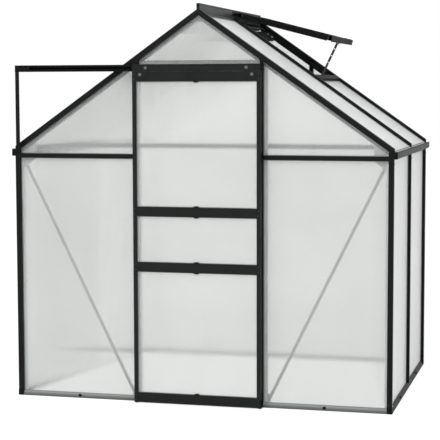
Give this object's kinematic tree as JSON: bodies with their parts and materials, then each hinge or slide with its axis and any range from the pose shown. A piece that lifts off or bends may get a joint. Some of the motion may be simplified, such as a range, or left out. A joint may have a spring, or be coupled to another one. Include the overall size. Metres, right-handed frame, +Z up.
{
  "type": "greenhouse",
  "caption": "Small walk-in garden greenhouse with a pitched roof, a sliding gable door on an overhead track, a hinged roof vent on a peg stay and eave gutters.",
  "frame": {"origin": "on the ground, in the middle of the four anchor holes", "axes": "+X to the right as seen from the door, +Y from the door gable to the rear gable, +Z up"},
  "size_m": [1.936, 1.3775, 1.9567],
  "materials": {
    "frame_paint": "satin",
    "sill_paint": "satin",
    "gutter_paint": "satin",
    "twin_wall": "translucent, fine vertical ribs",
    "zinc_plate": "dull",
    "bolt_steel": "zinc plated",
    "black_plastic": "moulded",
    "roller_plastic": "moulded",
    "stay_paint": "satin"
  },
  "bodies": {
    "frame": {"sill_front": "sill_paint", "sill_rear": "sill_paint", "sill_left": "sill_paint", "sill_right": "sill_paint", "post_front_left": "frame_paint", "post_front_right": "frame_paint", "post_rear_left": "frame_paint", "post_rear_right": "frame_paint", "jamb_left": "frame_paint", "jamb_right": "frame_paint", "rear_studs": "frame_paint", "side_studs": "frame_paint", "front_crossbars": "frame_paint", "rear_crossbars": "frame_paint", "door_header": "frame_paint", "rafter_front_left": "frame_paint", "rafter_front_right": "frame_paint", "rafter_rear_left": "frame_paint", "rafter_rear_right": "frame_paint", "roof_bar_left": "frame_paint", "roof_bar_right": "frame_paint", "ridge_beam": "gutter_paint", "eave_gutter_left": "gutter_paint", "eave_gutter_right": "gutter_paint", "vent_trimmer": "frame_paint", "vent_hinge_channel": "frame_paint", "peg_bracket": "stay_paint", "door_track": "frame_paint", "track_ends": "black_plastic", "track_strut": "frame_paint", "door_guides": "black_plastic", "front_braces": "zinc_plate", "foot_gussets": "zinc_plate", "eave_gussets": "zinc_plate", "apex_plates": "zinc_plate", "frame_nuts": "bolt_steel", "sill_clips": "black_plastic", "front_sheets_left": "twin_wall", "front_sheets_right": "twin_wall", "front_sheet_top": "twin_wall", "rear_sheets": "twin_wall", "side_sheets_left": "twin_wall", "side_sheets_right": "twin_wall", "roof_sheets_left": "twin_wall", "roof_sheets_right": "twin_wall"},
    "door": {"door_stile_left": "frame_paint", "door_stile_right": "frame_paint", "door_top_rail": "frame_paint", "door_mid_rails": "frame_paint", "door_bottom_rail": "frame_paint", "door_sheets": "twin_wall", "door_clips": "black_plastic", "door_hangers": "frame_paint", "hanger_bolts": "bolt_steel"},
    "roller_left": {"roller_left": "roller_plastic"},
    "roller_right": {"roller_right": "roller_plastic"},
    "vent": {"vent_top_bar": "frame_paint", "vent_frame_bars": "frame_paint", "vent_sheet": "twin_wall"},
    "vent_stay": {"vent_stay": "stay_paint"}
  },
  "joints": [
    {"name": "door_slide", "type": "slide", "parent": "frame", "child": "door", "axis": [1, 0, 0], "range_m": [-0.588, 0]},
    {"name": "roller_left_spin", "type": "hinge", "parent": "door", "child": "roller_left", "pos_m": [-0.25, -0.6965, 1.64746], "axis": [0, 1, 0], "continuous": true},
    {"name": "roller_right_spin", "type": "hinge", "parent": "door", "child": "roller_right", "pos_m": [0.25, -0.6965, 1.64746], "axis": [0, 1, 0], "continuous": true},
    {"name": "vent_hinge", "type": "hinge", "parent": "frame", "child": "vent", "pos_m": [0.02708, 0.328, 1.93281], "axis": [0, -1, 0], "range_deg": [-20.5, 0]},
    {"name": "stay_pivot", "type": "hinge", "parent": "vent", "child": "vent_stay", "pos_m": [0.50589, 0.328, 1.78742], "axis": [0, -1, 0], "range_deg": [0, 16.4]}
  ],
  "couplings": [
    {"joint": "roller_left_spin", "follows": "door_slide", "rad_per_m": 82.79},
    {"joint": "roller_right_spin", "follows": "door_slide", "rad_per_m": 82.79},
    {"joint": "stay_pivot", "follows": "vent_hinge", "ratio": -0.8}
  ]
}
